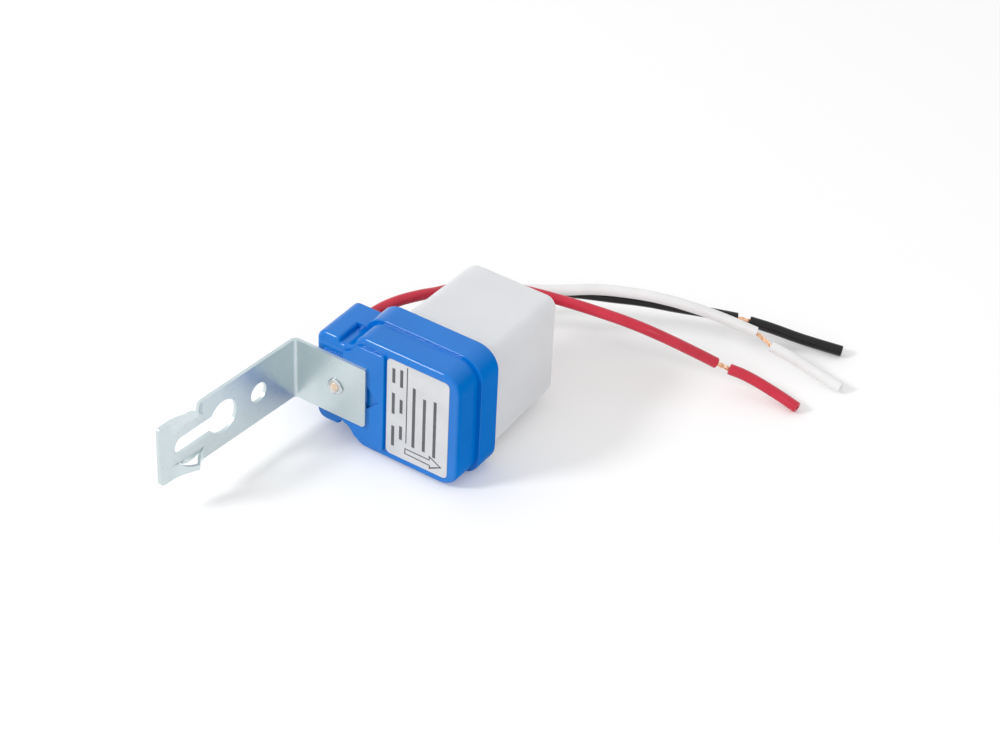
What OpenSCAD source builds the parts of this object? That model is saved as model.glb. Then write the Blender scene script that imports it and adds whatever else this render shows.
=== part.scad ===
// Photocell switch: blue base, translucent cover, steel bracket, circuit and three leads.
// X runs from the head to the far end, Y from the label to the cover, Z across the base.

/* [Base] */
// Length of the back rim along X
rim_l = 31; // [30:0.5:36]
// Width of the base across Z
base_w = 32; // [31:0.5:38]
// Corner radius of the back rim
rim_r = 5.5; // [5:0.25:6.5]
// Step from the back rim in to the front block
rim_step = 0.75; // [0.4:0.05:1.2]
// Depth of the front block
front_depth = 7.1; // [7.1:0.1:8.2]
// Depth of the whole base
base_depth = 13.4; // [12.8:0.1:15]
// Thickness of the front wall
front_wall = 1.5; // [1.2:0.1:1.6]
// Thickness of the head's walls
head_wall = 1.6; // [1.2:0.1:2]
// How far the head stands out beyond the rim
head_l = 8.5; // [8:0.25:10]
// Width of the head
head_w = 24.6; // [24:0.2:28]
// Corner radius of the head
head_r = 2.5; // [1:0.25:4]
// Width of the neck between head and block
neck_w = 21; // [20.6:0.2:23]
// Length of the curved shoulder from neck to block
shoulder_l = 7; // [6:0.1:7.2]
// Length of the flat bottom of the neck's groove
groove_l = 0.4; // [0.2:0.1:0.8]
// Radius of the head's edge at the groove
head_edge_r = 0.9; // [0.5:0.1:1.2]
// Height of the bracket pad above the label face
pad_h = 0.8; // [0.6:0.1:1.2]
// Margin between the block's edge and the pad's edge
pad_margin = 2.1; // [1.5:0.1:2.6]
// Length of the pad's curved shoulder
pad_run = 5.2; // [4.5:0.1:6]
// Width of the pad's narrow end
pad_neck_w = 20; // [18:0.2:20.4]
// Distance between the bar under the bracket and the head's end
pad_inset = 2.5; // [1.5:0.1:3]
// Margin between the strip's edge and the bar under it
bar_margin = 0.5; // [0.3:0.1:2]
// Depth of the pointed recess in the pad
recess_depth = 0.5; // [0.2:0.1:0.6]
// Half width of the pointed recess
recess_half = 3.1; // [2:0.1:4]

/* [Cover] */
// Margin between the cover and the rim's end at the head
cover_near = 4.5; // [3.5:0.1:6]
// Margin between the cover and the rim's far end
cover_far = 1.5; // [1:0.1:3]
// Margin between the cover and each side of the base
cover_side = 2; // [1.5:0.1:3.5]
// How far the cover stands out of the base
cover_depth = 27.5; // [22:0.5:28]
// Corner radius of the cover
cover_r = 3; // [2.6:0.1:3.6]
// Radius of the edge round the cover's end
cover_edge_r = 2.2; // [1.6:0.1:2.5]
// Thickness of the cover's wall
cover_wall = 1.2; // [0.9:0.1:1.4]
// Depth of the skirt pushed into the base
skirt_depth = 3; // [2.5:0.1:3.4]
// Clearance between skirt and base on each side
skirt_fit = 0.1; // [0.05:0.01:0.2]

/* [Bracket] */
// Width of the strip
strip_w = 16; // [14:0.5:16.4]
// Thickness of the strip
strip_t = 0.8; // [0.6:0.1:1.2]
// Length of the short leg, inside
short_leg = 19.3; // [17:0.1:21]
// Length of the long leg, inside
long_leg = 43.3; // [42:0.1:60]
// Angle by which the long leg opens beyond a right angle
lean = 5; // [0:0.5:8]
// Inside radius of the bend
bend_r = 0.8; // [0.5:0.1:1.5]
// Distance from the head's end to the inside of the bend
bend_gap = 4.4; // [4:0.1:6]
// Radius of the strip's lower corners
strip_r = 1.5; // [0.5:0.1:3]
// Radius of the strip's upper corners
strip_top_r = 0.5; // [0.3:0.1:2]
// Diameter of the round hole
hole_d = 5; // [4:0.1:6]
// Distance of the round hole from the bend
hole_at = 12; // [9:0.1:13]
// Diameter of the keyhole's large end
key_d = 8.5; // [7:0.1:10]
// Distance of the keyhole's large end from the bend
key_at = 23.4; // [21:0.1:24]
// Width of the keyhole's slot
slot_w = 4.3; // [3.5:0.1:5]
// Distance of the slot's far end from the leg's end
slot_margin = 4.7; // [3:0.1:7]
// Depth of the bowed edges beside the slot
bow_h = 2.1; // [0.8:0.1:2.6]
// Distance of the bow's crease from the leg's end
bow_margin = 10.2; // [9:0.1:12]
// Length of the bow before its crease
bow_in = 3.6; // [2.5:0.1:5]
// Length of the bow after its crease
bow_out = 6.9; // [5:0.1:8]
// Width of each bowed edge
bow_w = 3.5; // [3:0.1:4]
// Length of a half-moon tab
tab_l = 7.2; // [5:0.1:7.4]
// Depth of a half-moon tab
tab_depth = 1.9; // [1.5:0.1:2.2]
// Angle by which a tab is pushed out
tab_angle = 12; // [6:1:30]

/* [Rivet] */
// Diameter of the rivet's shank
rivet_d = 2.6; // [2.2:0.1:3]
// Diameter of the rivet's rolled heads
rivet_head_d = 4.2; // [3.8:0.1:5]
// Height of the rivet's rolled heads
rivet_head_h = 0.5; // [0.4:0.05:0.7]
// Diameter of the rivet's core
core_d = 1.8; // [1.4:0.1:1.9]
// Distance of the rivet from the strip's end
rivet_at = 8.1; // [7:0.1:9]
// Clearance round the shank
rivet_fit = 0.05; // [0.03:0.01:0.15]
// Diameter of the washer
washer_d = 5.6; // [5.2:0.1:7]
// Thickness of the washer
washer_t = 0.4; // [0.3:0.05:0.5]

/* [Label] */
// Length of the label along X
label_l = 16.5; // [12:0.1:17]
// Width of the label across Z
label_w = 26.3; // [20:0.1:27]
// Thickness of the label
label_t = 0.15; // [0.1:0.01:0.3]
// Corner radius of the label
label_r = 1.2; // [0.5:0.1:3]
// Margin between the label and the block's end
label_margin = 2.6; // [2.3:0.1:3]

/* [Leads] */
// Diameter of a lead
lead_d = 2.6; // [2.2:0.1:2.8]
// Distance between neighbouring leads
lead_pitch = 7.9; // [6:0.1:8]
// Clearance round a lead in its hole
lead_fit = 0.1; // [0.05:0.05:0.2]
// Diameter of the bare strands
strand_d = 1.1; // [0.8:0.1:1.4]

/* [Circuit] */
// Thickness of the circuit board
board_t = 1.6; // [1.2:0.1:1.8]
// Clearance between board and base on each side
board_fit = 0.2; // [0.1:0.05:0.3]
// Width of the ledge under the board
ledge = 1.5; // [1:0.1:1.8]
// Clearance between the tall parts and the cover
part_clear = 0.9; // [0.7:0.1:1.2]
// Distance of the row of small parts from the cover's wall
side_in = 5.2; // [4.8:0.1:6]
// Distance of the row of small parts from the relay
relay_gap = 2; // [1.6:0.1:3]
// Width of the relay across Z
relay_w = 19; // [15:0.1:20]
// Height of the relay
relay_h = 15.5; // [12:0.1:18]
// Gap between the relay and the film capacitor
film_gap = 0.3; // [0.2:0.1:1]
// Height of the film capacitor
film_h = 11; // [8:0.5:14]
// Height of the light sensor above the board
sensor_h = 12; // [10:0.5:16]
// Diameter of the light sensor
sensor_d = 5; // [4:0.1:6]
// Thickness of the light sensor
sensor_t = 1.6; // [1.2:0.1:1.8]
// Distance between the light sensor's wires
sensor_pitch = 2.8; // [2:0.1:3.2]
// Diameter of the electrolytic capacitor
can_d = 4.4; // [4:0.1:5]
// Height of the electrolytic capacitor
can_h = 9; // [7:0.5:12]
// Width and height of the transistor
transistor_w = 4.6; // [4:0.1:5]
// Thickness of the transistor
transistor_t = 3.6; // [3:0.1:4]
// Diameter of a resistor and of the rectifier
resistor_d = 2.3; // [1.8:0.1:2.5]
// Length of a resistor and of the rectifier
resistor_l = 6; // [4:0.5:7]
// Diameter of a small diode
diode_d = 1.8; // [1.5:0.1:2]
// Length of a small diode
diode_l = 4; // [3:0.5:5]
// Diameter of a component's wire
wire_d = 0.6; // [0.5:0.05:0.7]
// Distance between the two wires of a standing component
wire_fold = 2.4; // [2:0.1:2.5]
// Height of the components above the board
wire_foot = 0.8; // [0.5:0.1:1.5]

/* [Hidden] */
$fn = 48;
// Small overlap where a cut passes a face
cut = 0.1;
// Small shift that lets an arc cross a face instead of touching it
skim = 0.02;

// Base
rim_x = rim_l / 2;
block_w = base_w - 2 * rim_step;
block_x = rim_x - rim_step;
shoulder_x = -rim_x + rim_r;
neck_x = shoulder_x - shoulder_l;
head_x = -rim_x - head_l;
head_end = neck_x - groove_l;
head_middle = (head_x + head_end) / 2;
pad_x = block_x - label_margin - label_l - 0.4;
pad_shoulder = shoulder_x - 0.8;

// Cover
cover_l = rim_l - cover_near - cover_far;
cover_w = base_w - 2 * cover_side;
cover_shift = (cover_near - cover_far) / 2;

// Stack of board and cover inside the base
board_y = base_depth - skirt_depth;
ledge_y = board_y - board_t;
cover_y = base_depth + cover_depth;

// Bracket
strip_y = -pad_h - strip_t;
bend_x = head_x - bend_gap;
strip_end = bend_x + short_leg;
rivet_x = strip_end - rivet_at;
bend_start = bend_r * tan(45 - lean / 2);
slot_end = long_leg - slot_margin;
bow_peak = long_leg - bow_margin;
bow_at = bow_peak - bow_in;
bow_back = bow_peak + bow_out;
bow_line = concat(
  [for (i = [0:3]) bow_at + (bow_peak - bow_at) * i / 4],
  [for (i = [0:4]) bow_peak + (bow_back - bow_peak) * i / 4]);
tab_x = bow_peak + 0.5;
tab_gap = 0.25;
tab_root = 0.3;
tab_y = bow_w - strip_w / 2;

// Leads
exit_x = head_x + head_wall + lead_d / 2 + 0.4;
cavity_half = lead_pitch + lead_d / 2 + 0.2;
cavity_end = exit_x + 3.2;
lead_gap = 0.4;
lead_bend = ledge_y - front_wall - washer_t - rivet_head_h - lead_d / 2 - lead_gap;
solder_x = cover_shift - cover_l / 2 + ledge + lead_d / 2 + 0.7;

// Room above the board: the relay's corner, then the row of small parts, evenly spaced
room_x = cover_shift - cover_l / 2 + cover_wall + part_clear;
room_z = -cover_w / 2 + cover_wall + part_clear;
side_x = cover_shift + cover_l / 2 - cover_wall - side_in;
relay_l = side_x - relay_gap - room_x;
film_w = -2 * room_z - relay_w - film_gap;
side_room = cover_w - 2 * cover_wall;
side_sizes = [can_d, transistor_t, diode_d, resistor_d, resistor_d, resistor_d, diode_d];
side_gap = (side_room - total(side_sizes, 7)) / 8;

// The part's middle, so that the origin lies under the middle of its box
left_x = bend_x - long_leg * sin(lean) - strip_t * cos(lean);
front_y = strip_y - long_leg * cos(lean);
middle = [(left_x + rim_x) / 2, (front_y + cover_y) / 2, -base_w / 2];

// Routes outside the base: X and Y from the lead's hole, Z above the surface it lies on
red_route = [[0.1, 3.5, 24], [1.5, 9.3, 24.1], [4.2, 15.3, 23.4], [6.3, 20.8, 22.2],
             [7.6, 25.5, 21.3], [9, 30, 20.7], [12.8, 33, 20.4], [19, 34.8, 20.2],
             [28.4, 37.2, 20], [39.5, 40.1, 19], [45, 41.8, 18], [50.1, 44.2, 16], [57.6, 50, 10.5],
             [61.4, 53, 7.5]];
red_sleeve = [[64.1, 54.6, 6], [67.4, 55.9, 5], [75.4, 57.1, 2.6], [81.3, 56.7, 1.5]];
white_route = [[0, 6, 15.8], [0.3, 14, 14.5], [1.8, 23, 13.6], [4.5, 31.5, 13.6], [9.5, 38.6, 14],
               [15.8, 41.8, 14.6], [23.5, 46.8, 15], [29.2, 51.4, 15], [35.8, 54.9, 15],
               [42.6, 58.1, 14.5], [49.4, 61.4, 13], [56, 65, 10.5], [62.8, 68.6, 7.5]];
white_sleeve = [[67.4, 67.9, 6], [73.6, 69.1, 4], [77.8, 69.4, 2.8], [85.7, 69.3, 1.5]];
black_route = [[0, 7, 8], [0.3, 20.5, 8.2], [3, 35, 8.5], [9, 45.5, 8.8], [15.5, 51, 9],
               [22.2, 54.6, 9], [29.9, 58.2, 9], [36.7, 61.4, 9], [43.5, 64.8, 8.3],
               [49.8, 68.8, 7.2], [55.6, 72.5, 6]];
black_sleeve = [[58.1, 74.1, 5.2], [62.6, 75.8, 4.4], [69.4, 78.6, 2.6], [79.1, 81.5, 1.5]];

// Sum of the first numbers of a list
function total(list, count) = count == 0 ? 0 : list[count - 1] + total(list, count - 1);

// Place across Z of one of the small parts in the row
function side_z(i) =
  total(side_sizes, i) + side_sizes[i] / 2 + (i + 1) * side_gap - side_room / 2;

// Moves a piece from the base's own frame to the part's frame
module placed() {
  translate(-middle) children();
}

// Plate between two depths, drawn in X and Z
module slab(y0, y1) {
  translate([0, y1, 0]) rotate([90, 0, 0]) linear_extrude(y1 - y0) children();
}

// Round rod along Y
module rod(x, z, d, y0, y1) {
  translate([x, y1, z]) rotate([90, 0, 0]) cylinder(d = d, h = y1 - y0);
}

// Rectangle with round corners about the origin
module round_rect(l, w, r) {
  square([l - 2 * r, w], center = true);
  square([l, w - 2 * r], center = true);
  for (sx = [-1, 1]) {
    for (sz = [-1, 1]) {
      translate([sx * (l / 2 - r), sz * (w / 2 - r)]) circle(r);
    }
  }
}

// Outline that narrows through an S-curve of two equal arcs, toward -X
module shoulder(x, run, wide, narrow) {
  rise = wide - narrow;
  r = (run * run + rise * rise) / (4 * rise);
  turn = asin(run / 2 / r);
  steps = 8;
  outer = [for (i = [0:steps]) let (a = turn * i / steps)
    [x - r * sin(a), wide - r + r * cos(a)]];
  inner = [for (i = [steps - 1:-1:0]) let (a = turn * i / steps)
    [x - run + r * sin(a), narrow + r - r * cos(a)]];
  for (side = [0, 1]) {
    mirror([0, side]) polygon(concat([[x, 0]], outer, inner, [[x - run, 0]]));
  }
}

// Bar that ends at x0 in two round corners and is square at x1
module round_end(x0, x1, w, r) {
  step = x1 > x0 ? r : -r;
  translate([min(x0 + step, x1), -w / 2]) square([abs(x1 - x0) - r, w]);
  translate([min(x0, x0 + step), -w / 2 + r]) square([r, w - 2 * r]);
  for (side = [-1, 1]) {
    translate([x0 + step, side * (w / 2 - r)]) circle(r);
  }
}

module front_outline() {
  round_end(block_x, shoulder_x, block_w, rim_r - rim_step);
  shoulder(shoulder_x, shoulder_l, block_w / 2, neck_w / 2);
  translate([head_end - cut, -neck_w / 2]) square([shoulder_x - head_end + 2 * cut, neck_w]);
  round_end(head_x, head_middle, head_w, head_r);
  round_end(head_end, head_middle, head_w, head_edge_r);
}

module back_outline() {
  round_rect(rim_l, base_w, rim_r);
  round_end(head_x, shoulder_x, head_w, head_r);
}

module pad_outline() {
  half = block_w / 2 - pad_margin;
  translate([pad_shoulder, -half]) square([pad_x - pad_shoulder, 2 * half]);
  shoulder(pad_shoulder, pad_run, half, pad_neck_w / 2);
  translate([head_x + pad_inset, bar_margin - strip_w / 2])
    square([pad_shoulder - head_x - pad_inset, strip_w - 2 * bar_margin]);
}

module recess_outline() {
  translate([strip_end - 0.1, 0]) rotate(45) square(recess_half * sqrt(2), center = true);
}

module cavity() {
  // Pocket for the cover's skirt and the board
  slab(ledge_y, base_depth + cut)
    translate([cover_shift, 0])
      round_rect(cover_l + 2 * skirt_fit, cover_w + 2 * skirt_fit, cover_r + skirt_fit);
  // Room under the board
  slab(front_wall, ledge_y + cut)
    translate([cover_shift, 0])
      round_rect(cover_l - 2 * ledge, cover_w - 2 * ledge, cover_r - 1);
  // Room in the head and the passage through the neck
  slab(front_wall, base_depth - head_wall)
    translate([head_x + head_wall, -cavity_half])
      square([cavity_end - head_x - head_wall, 2 * cavity_half]);
  slab(front_wall, ledge_y - 1.8)
    translate([cavity_end - cut, -cavity_half])
      square([cover_shift - cavity_end, 2 * cavity_half]);
}

module base() {
  color("royalblue") placed() difference() {
    union() {
      slab(0, front_depth) front_outline();
      slab(front_depth, base_depth) back_outline();
      slab(-pad_h, 0) pad_outline();
    }
    cavity();
    slab(-pad_h - cut, -pad_h + recess_depth) recess_outline();
    rod(rivet_x, 0, rivet_d + 2 * rivet_fit, -pad_h - cut, front_wall + cut);
    for (i = [-1, 0, 1]) {
      rod(exit_x, i * lead_pitch, lead_d + 2 * lead_fit, ledge_y, base_depth + cut);
    }
  }
}

module quarter(r) {
  intersection() {
    circle(r);
    square(r);
  }
}

// Box from y0 to y1 with round corners and a soft edge round its far end
module soft_box(l, w, r, edge, y0, y1) {
  slab(y0, y1 - edge) round_rect(l, w, r);
  slab(y1 - edge, y1) round_rect(l - 2 * edge, w - 2 * edge, r - edge);
  translate([0, y1 - edge, 0]) {
    for (sx = [-1, 1]) {
      for (sz = [-1, 1]) {
        translate([sx * (l / 2 - r), 0, sz * (w / 2 - r)]) rotate([-90, 0, 0])
          rotate_extrude() {
            square([r - edge, edge]);
            translate([r - edge, 0]) quarter(edge);
          }
      }
    }
    for (side = [0, 1]) {
      mirror([0, 0, side]) translate([r - l / 2, 0, w / 2 - edge]) rotate([90, 0, 90])
        linear_extrude(l - 2 * r) quarter(edge);
      mirror([side, 0, 0]) translate([l / 2 - edge, 0, r - w / 2])
        linear_extrude(w - 2 * r) quarter(edge);
    }
  }
}

module cover() {
  inner_r = cover_r - cover_wall / 2;
  color("gainsboro", 0.7) placed() translate([cover_shift, 0, 0]) difference() {
    soft_box(cover_l, cover_w, cover_r, cover_edge_r, board_y, cover_y);
    soft_box(cover_l - 2 * cover_wall, cover_w - 2 * cover_wall, inner_r, inner_r - 0.6,
             board_y - cut, cover_y - cover_wall);
  }
}

module label() {
  color("whitesmoke") placed()
    slab(-label_t, 0)
      translate([block_x - label_margin - label_l / 2, 0])
        round_rect(label_l, label_w, label_r);
}

// The strip is drawn along its long leg: X from the bend, Y outward from the inner face
// Point on the short leg: its distance from the bend and how far it lies outside the inner face
function short_point(along, out) =
  [-along * sin(lean) - out * cos(lean), out * sin(lean) - along * cos(lean)];

// Place of a bowed edge, inward of the flat leg: soft at both ends, with a sharp crease
function bow_depth(along) = let (
    run = along < bow_peak ? bow_at - bow_peak : bow_back - bow_peak
  ) bow_h * (sin(90 * (along - bow_peak) / run) - 1);

// Corner outside the circle of the bend, up to the lines where both legs touch it
module bend_corner(out) {
  centre = [bend_start, -bend_r];
  difference() {
    polygon([centre, short_point(bend_start, out), [-out * tan(45 - lean / 2), out],
             [bend_start, out]]);
    translate(centre) circle(bend_r + out);
  }
}

// Section of the folded strip: the short leg, the bend and the long leg
module strip_section() {
  difference() {
    polygon([short_point(short_leg, 0), [0, 0], [long_leg, 0], [long_leg, strip_t],
             [-strip_t * tan(45 - lean / 2), strip_t], short_point(short_leg, strip_t)]);
    bend_corner(strip_t);
  }
  bend_corner(0);
}

// Section of a bowed edge
module bow_section() {
  last = len(bow_line) - 1;
  polygon(concat([for (u = bow_line) [u, bow_depth(u)]],
                 [for (i = [last:-1:0]) [bow_line[i], bow_depth(bow_line[i]) + strip_t]]));
}

// Half-moon outline of a tab, with its straight side up
module half_moon(gap) {
  r = (tab_l * tab_l / 4 + tab_depth * tab_depth) / (2 * tab_depth);
  top = gap > 0 ? 0 : tab_root;
  intersection() {
    translate([0, r - tab_depth]) circle(r + gap);
    translate([-tab_l, top - 2 * tab_l]) square([2 * tab_l, 2 * tab_l]);
  }
}

// Cuts a square corner to a round one at the plate's end
module corner_cut(r) {
  difference() {
    translate([0, 0, -5]) cube([r + cut, r + cut, 10]);
    translate([0, 0, -6]) cylinder(r = r, h = 12);
  }
}

// Puts shapes drawn along X, with the inner face at Z = 0, onto the long leg
module on_leg() {
  translate([bend_x, strip_y, 0]) rotate([0, 0, -90 - lean]) rotate([90, 0, 0]) children();
}

// Extrudes a section across the strip between two distances from its middle
module across(from, to) {
  translate([0, to, 0]) rotate([90, 0, 0]) linear_extrude(to - from) children();
}

module leg_holes() {
  translate([hole_at, 0, -5]) cylinder(d = hole_d, h = 10);
  translate([key_at, 0, -5]) cylinder(d = key_d, h = 10);
  translate([key_at, -slot_w / 2, -5]) cube([slot_end - slot_w / 2 - key_at, slot_w, 10]);
  translate([slot_end - slot_w / 2, 0, -5]) cylinder(d = slot_w, h = 10);
  for (side = [0, 1]) {
    mirror([0, side, 0]) translate([bow_at, -strip_w / 2 - cut, -5])
      cube([bow_back - bow_at, bow_w + cut, 10]);
  }
  translate([long_leg - strip_r, -strip_w / 2 + strip_r, 0]) mirror([0, 1, 0]) corner_cut(strip_r);
  translate([long_leg - strip_top_r, strip_w / 2 - strip_top_r, 0]) corner_cut(strip_top_r);
}

// Edge of the leg bowed inward beside the slot, parted from its tab by a half-moon slit
module bow() {
  difference() {
    across(-strip_w / 2, tab_y) bow_section();
    translate([tab_x, tab_y, -5]) linear_extrude(10) half_moon(tab_gap);
  }
}

// Half-moon tab of the flat leg, turned outward about its straight side
module tab() {
  intersection() {
    translate([tab_x, tab_y, strip_t]) rotate([-tab_angle, 0, 0]) translate([0, 0, -strip_t])
      linear_extrude(strip_t) half_moon(0);
    translate([bow_at, -strip_w / 2, 0]) cube([bow_back - bow_at, strip_w, 5]);
  }
}

module strip() {
  difference() {
    across(-strip_w / 2, strip_w / 2) strip_section();
    leg_holes();
  }
  for (side = [0, 1]) {
    mirror([0, side, 0]) bow();
    mirror([0, side, 0]) tab();
  }
}

module bracket() {
  color("silver") placed() difference() {
    on_leg() strip();
    rod(rivet_x, 0, rivet_d + 2 * rivet_fit, strip_y - cut, cut);
    translate([strip_end - strip_r + skim, 0, -strip_w / 2 + strip_r - skim]) mirror([0, 0, 1])
      rotate([90, 0, 0]) corner_cut(strip_r);
    translate([strip_end - strip_top_r + skim, 0, strip_w / 2 - strip_top_r + skim])
      rotate([90, 0, 0]) corner_cut(strip_top_r);
  }
}

module rivet() {
  color("lightgray") placed() translate([rivet_x, 0, 0]) rotate([-90, 0, 0])
    rotate_extrude() {
      front = strip_y - rivet_head_h;
      back = front_wall + washer_t + rivet_head_h;
      translate([core_d / 2, front]) square([(rivet_d - core_d) / 2, back - front]);
      for (y = [front, back - rivet_head_h]) {
        translate([core_d / 2, y]) square([rivet_head_d / 2 - core_d / 2 - rivet_head_h / 2,
                                           rivet_head_h]);
        translate([rivet_head_d / 2 - rivet_head_h / 2, y + rivet_head_h / 2])
          circle(d = rivet_head_h);
      }
    }
}

module rivet_core() {
  color("peru") placed()
    rod(rivet_x, 0, core_d, strip_y - rivet_head_h + 0.15, front_wall + washer_t + rivet_head_h - 0.1);
}

module rivet_washer() {
  color("darkgray") placed() difference() {
    rod(rivet_x, 0, washer_d, front_wall, front_wall + washer_t);
    rod(rivet_x, 0, rivet_d + 2 * rivet_fit, front_wall - cut, front_wall + washer_t + cut);
  }
}

module circuit_board() {
  color("darkgreen") placed()
    slab(ledge_y, board_y)
      translate([cover_shift, 0])
        round_rect(cover_l - 2 * board_fit, cover_w - 2 * board_fit, cover_r - board_fit);
}

module relay() {
  color("dodgerblue") placed()
    translate([room_x, board_y, room_z]) cube([relay_l, relay_h, relay_w]);
}

module film_capacitor() {
  color("goldenrod") placed()
    translate([room_x, board_y, -room_z - film_w]) cube([relay_l, film_h, film_w]);
}

module electrolytic_capacitor() {
  color("midnightblue") placed()
    rod(side_x + can_d / 4, side_z(0), can_d, board_y, board_y + can_h);
}

module transistor() {
  x = side_x + can_d / 4;
  z = side_z(1) + transistor_w / 2 - transistor_t / 2;
  foot = board_y + 3 * wire_foot;
  color("dimgray") placed() {
    difference() {
      rod(x, z, transistor_w, foot, foot + transistor_w);
      translate([x - transistor_w, foot - cut, z + transistor_t - transistor_w / 2])
        cube([2 * transistor_w, transistor_w + 2 * cut, transistor_w]);
    }
    for (i = [-1, 0, 1]) {
      rod(x + i * transistor_w / 3.6, z, wire_d, board_y, foot + wire_foot);
    }
  }
}

// Light-dependent resistor on two wires, facing +X
module light_sensor() {
  x = side_x + wire_fold + wire_d;
  y = board_y + sensor_h;
  color("indianred") placed() {
    translate([x, y, 0]) rotate([0, 90, 0]) cylinder(d = sensor_d, h = sensor_t);
    for (side = [-1, 1]) {
      rod(x + wire_d, side * sensor_pitch / 2, wire_d, board_y, y);
    }
  }
}

// Component with wires at both ends, standing in the row with one wire folded down
module standing(place, d, h) {
  z = side_z(place);
  foot = board_y + wire_foot;
  top = foot + h + wire_foot;
  rod(side_x, z, d, foot, foot + h);
  rod(side_x, z, wire_d, board_y, top);
  rod(side_x + wire_fold, z, wire_d, board_y, top);
  translate([side_x, top, z]) rotate([0, 90, 0]) cylinder(d = wire_d, h = wire_fold);
  for (dx = [0, wire_fold]) {
    translate([side_x + dx, top, z]) sphere(d = wire_d);
  }
}

module flyback_diode() {
  color("dimgray") placed() standing(2, diode_d, diode_l);
}

module bleeder_resistor() {
  color("tan") placed() standing(3, resistor_d, resistor_l);
}

module bias_resistor() {
  color("lightblue") placed() standing(4, resistor_d, resistor_l);
}

module rectifier_diode() {
  color("dimgray") placed() standing(5, resistor_d, resistor_l);
}

module zener_diode() {
  color("orangered") placed() standing(6, diode_d, diode_l);
}

// Points of a lead from the board to its hole, bending through the neck
function inner_route(z) = concat(
    [for (a = [0, 30, 60, 90])
      [solder_x - lead_bend + lead_bend * cos(a), ledge_y - lead_bend * sin(a), z]],
    [for (a = [90, 120, 150, 180])
      [exit_x + lead_bend + lead_bend * cos(a), ledge_y - lead_bend * sin(a), z]],
    [[exit_x, base_depth, z]]);

function outer_route(points) =
  [for (p = points) [exit_x + p[0], base_depth + p[1], p[2] - base_w / 2]];

function unit(v) = v / norm(v);

// Direction of a route at one of its points; it leaves the board square to it
function heading(route, i) =
  i == 0 ? [0, -1, 0] :
  i == len(route) - 1 ? unit(route[i] - route[i - 1]) : unit(route[i + 1] - route[i - 1]);

function ring(route, i, d) = let (
    t = heading(route, i),
    side = unit(cross(t, [0, 0, 1])),
    up = cross(side, t)
  ) [for (a = [0:45:315]) route[i] + d / 2 * (cos(a) * side + sin(a) * up)];

// Tube swept along a stretch of a route
module swept(route, first, last, d) {
  n = 8;
  rings = last - first;
  points = [for (i = [first:last]) each ring(route, i, d)];
  walls = [for (i = [0:rings - 1]) for (k = [0:n - 1])
    [i * n + k, i * n + (k + 1) % n, (i + 1) * n + (k + 1) % n, (i + 1) * n + k]];
  polyhedron(points, concat(walls, [[for (k = [n - 1:-1:0]) k]],
                            [[for (k = [0:n - 1]) rings * n + k]]));
}

// One stretch of a lead: 0 its insulation, 1 the bare copper, 2 the sleeve at its end
module lead(z, points, sleeve, stretch) {
  inside = inner_route(z);
  route = concat(inside, outer_route(points), outer_route(sleeve));
  end = len(inside) + len(points) - 1;
  placed() {
    if (stretch == 0) swept(route, 0, end, lead_d);
    if (stretch == 1) swept(route, end, end + 1, strand_d);
    if (stretch == 2) swept(route, end + 1, len(route) - 1, lead_d);
  }
}

module lead_red() {
  color("crimson") lead(lead_pitch, red_route, red_sleeve, 0);
}

module lead_red_copper() {
  color("sandybrown") lead(lead_pitch, red_route, red_sleeve, 1);
}

module lead_red_sleeve() {
  color("crimson") lead(lead_pitch, red_route, red_sleeve, 2);
}

module lead_white() {
  color("white") lead(0, white_route, white_sleeve, 0);
}

module lead_white_copper() {
  color("sandybrown") lead(0, white_route, white_sleeve, 1);
}

module lead_white_sleeve() {
  color("white") lead(0, white_route, white_sleeve, 2);
}

module lead_black() {
  color("black") lead(-lead_pitch, black_route, black_sleeve, 0);
}

module lead_black_copper() {
  color("sandybrown") lead(-lead_pitch, black_route, black_sleeve, 1);
}

module lead_black_sleeve() {
  color("black") lead(-lead_pitch, black_route, black_sleeve, 2);
}

base();
cover();
label();
bracket();
rivet();
rivet_core();
rivet_washer();
circuit_board();
relay();
light_sensor();
film_capacitor();
electrolytic_capacitor();
bleeder_resistor();
bias_resistor();
rectifier_diode();
zener_diode();
flyback_diode();
transistor();
lead_red();
lead_red_copper();
lead_red_sleeve();
lead_white();
lead_white_copper();
lead_white_sleeve();
lead_black();
lead_black_copper();
lead_black_sleeve();
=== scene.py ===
import math
import bpy
from mathutils import Matrix, Vector


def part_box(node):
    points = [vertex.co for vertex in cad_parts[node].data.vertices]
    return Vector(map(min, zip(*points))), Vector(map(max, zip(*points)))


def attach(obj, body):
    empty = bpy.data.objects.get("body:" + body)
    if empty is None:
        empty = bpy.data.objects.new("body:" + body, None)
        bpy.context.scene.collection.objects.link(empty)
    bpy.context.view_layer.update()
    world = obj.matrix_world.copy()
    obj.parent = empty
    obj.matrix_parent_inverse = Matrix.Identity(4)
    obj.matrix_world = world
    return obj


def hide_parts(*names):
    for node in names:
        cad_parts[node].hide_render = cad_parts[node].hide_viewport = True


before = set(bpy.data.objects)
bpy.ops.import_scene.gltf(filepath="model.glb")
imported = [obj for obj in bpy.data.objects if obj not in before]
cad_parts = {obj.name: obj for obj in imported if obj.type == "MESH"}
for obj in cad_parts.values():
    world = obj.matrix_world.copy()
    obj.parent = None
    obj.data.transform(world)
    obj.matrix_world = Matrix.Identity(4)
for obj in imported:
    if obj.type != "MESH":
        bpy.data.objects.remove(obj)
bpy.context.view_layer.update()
print("frame loaded:", len(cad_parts), "nodes")

mm = 0.001
near = 0.01  # mm, how closely edges and faces are picked by their place
baseSize = {"rimEnd": 15.5, "depth": 13.4}  # where the base's own frame lies in its box, mm
baseLow, baseHigh = (Vector(corner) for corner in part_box("base"))
baseMiddle = Vector((baseHigh.x - baseSize["rimEnd"] * mm, baseHigh.y - baseSize["depth"] * mm,
                     (baseLow.z + baseHigh.z) / 2))


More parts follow.
